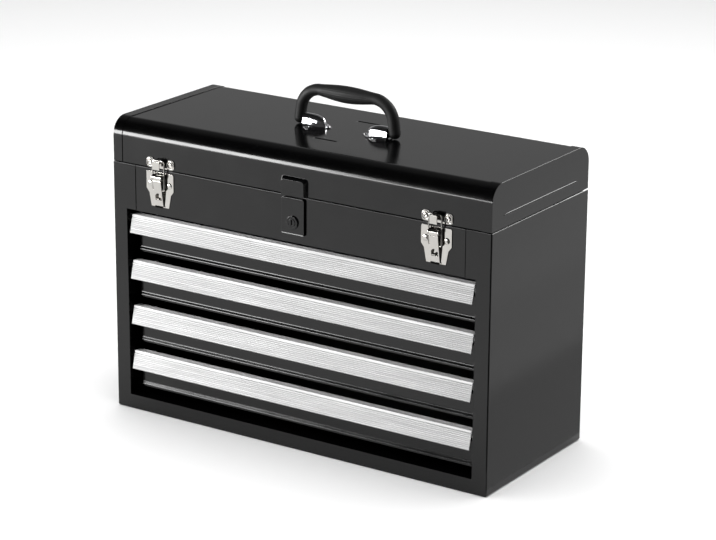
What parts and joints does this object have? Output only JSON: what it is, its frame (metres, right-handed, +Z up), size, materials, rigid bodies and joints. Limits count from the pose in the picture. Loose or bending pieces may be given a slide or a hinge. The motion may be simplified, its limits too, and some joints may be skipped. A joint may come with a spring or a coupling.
{
  "type": "portable tool chest",
  "caption": "Portable steel tool box with a lidded till over a stack of drawers, wire draw latches, a lid lock and a carry handle on top.",
  "frame": {"origin": "middle of the case's underside", "axes": "+X to the right seen from the front, +Y to the rear, +Z up"},
  "size_m": [0.52, 0.2263, 0.4127],
  "materials": {
    "black_paint": "satin",
    "nickel": "bright",
    "chrome": "polished",
    "zinc": "satin",
    "pull_aluminium": "satin",
    "grip_plastic": "matte",
    "mat_rubber": "matte"
  },
  "bodies": {
    "case": {"case_body": "black_paint", "case_back": "black_paint", "front_fascia": "black_paint", "till_floor": "black_paint", "till_liner": "mat_rubber", "hinge_case_leaf": "zinc", "hinge_pin": "zinc", "stay_case_stud": "zinc", "latch_plate_left": "nickel", "latch_plate_right": "nickel", "latch_pin_left": "nickel", "latch_pin_right": "nickel", "latch_rivets": "nickel", "lock_escutcheon": "black_paint", "lock_barrel": "black_paint", "lock_nut": "zinc", "runners_left": "zinc", "runners_right": "zinc"},
    "lid": {"lid_shell": "black_paint", "lid_end_left": "black_paint", "lid_end_right": "black_paint", "handle_plate": "black_paint", "handle_bracket_left": "chrome", "handle_bracket_right": "chrome", "bracket_rivets": "chrome", "hinge_lid_leaf": "zinc", "stay_lid_stud": "zinc", "latch_keeper_left": "nickel", "latch_keeper_right": "nickel", "keeper_rivets": "nickel", "lid_strike": "zinc"},
    "handle": {"handle_grip": "grip_plastic", "handle_pins": "zinc"},
    "stay_arm": {"lid_stay_arm": "zinc"},
    "lock_core": {"lock_plug": "black_paint", "lock_cam": "zinc", "lock_cam_screw": "zinc"},
    "drawer_1": {"drawer_1_tray": "black_paint", "drawer_1_pull": "pull_aluminium", "drawer_1_mat": "mat_rubber", "drawer_1_rails": "zinc"},
    "drawer_2": {"drawer_2_tray": "black_paint", "drawer_2_pull": "pull_aluminium", "drawer_2_mat": "mat_rubber", "drawer_2_rails": "zinc"},
    "drawer_3": {"drawer_3_tray": "black_paint", "drawer_3_pull": "pull_aluminium", "drawer_3_mat": "mat_rubber", "drawer_3_rails": "zinc"},
    "drawer_4": {"drawer_4_tray": "black_paint", "drawer_4_pull": "pull_aluminium", "drawer_4_mat": "mat_rubber", "drawer_4_rails": "zinc"},
    "lever_left": {"latch_lever_left": "nickel"},
    "bail_left": {"latch_bail_left": "nickel"},
    "lever_right": {"latch_lever_right": "nickel"},
    "bail_right": {"latch_bail_right": "nickel"}
  },
  "joints": [
    {"name": "lid_turn", "type": "hinge", "parent": "case", "child": "lid", "pos_m": [0, 0.1075, 0.307], "axis": [-1, 0, 0], "range_deg": [0, 90]},
    {"name": "stay_turn", "type": "hinge", "parent": "lid", "child": "stay_arm", "pos_m": [0.24775, 0.08169, 0.34386], "axis": [-1, 0, 0], "range_deg": [-45, 0]},
    {"name": "handle_swing", "type": "hinge", "parent": "lid", "child": "handle", "pos_m": [0, 0, 0.3665], "axis": [1, 0, 0], "range_deg": [-80, 80]},
    {"name": "lock_turn", "type": "hinge", "parent": "case", "child": "lock_core", "pos_m": [0, -0.11, 0.2765], "axis": [0, -1, 0], "range_deg": [0, 90]},
    {"name": "drawer_1_slide", "type": "slide", "parent": "case", "child": "drawer_1", "axis": [0, -1, 0], "range_m": [0, 0.15]},
    {"name": "drawer_2_slide", "type": "slide", "parent": "case", "child": "drawer_2", "axis": [0, -1, 0], "range_m": [0, 0.15]},
    {"name": "drawer_3_slide", "type": "slide", "parent": "case", "child": "drawer_3", "axis": [0, -1, 0], "range_m": [0, 0.15]},
    {"name": "drawer_4_slide", "type": "slide", "parent": "case", "child": "drawer_4", "axis": [0, -1, 0], "range_m": [0, 0.15]},
    {"name": "latch_left_turn", "type": "hinge", "parent": "case", "child": "lever_left", "pos_m": [-0.19, -0.113, 0.299], "axis": [-1, 0, 0], "range_deg": [0, 110]},
    {"name": "latch_left_loop", "type": "hinge", "parent": "lever_left", "child": "bail_left", "pos_m": [-0.19, -0.1111, 0.283], "axis": [-1, 0, 0], "range_deg": [-77, 0]},
    {"name": "latch_right_turn", "type": "hinge", "parent": "case", "child": "lever_right", "pos_m": [0.19, -0.113, 0.299], "axis": [-1, 0, 0], "range_deg": [0, 110]},
    {"name": "latch_right_loop", "type": "hinge", "parent": "lever_right", "child": "bail_right", "pos_m": [0.19, -0.1111, 0.283], "axis": [-1, 0, 0], "range_deg": [-77, 0]}
  ],
  "couplings": [
    {"joint": "stay_turn", "follows": "lid_turn", "ratio": -0.5},
    {"joint": "latch_left_loop", "follows": "latch_left_turn", "ratio": -0.7},
    {"joint": "latch_right_loop", "follows": "latch_right_turn", "ratio": -0.7}
  ]
}
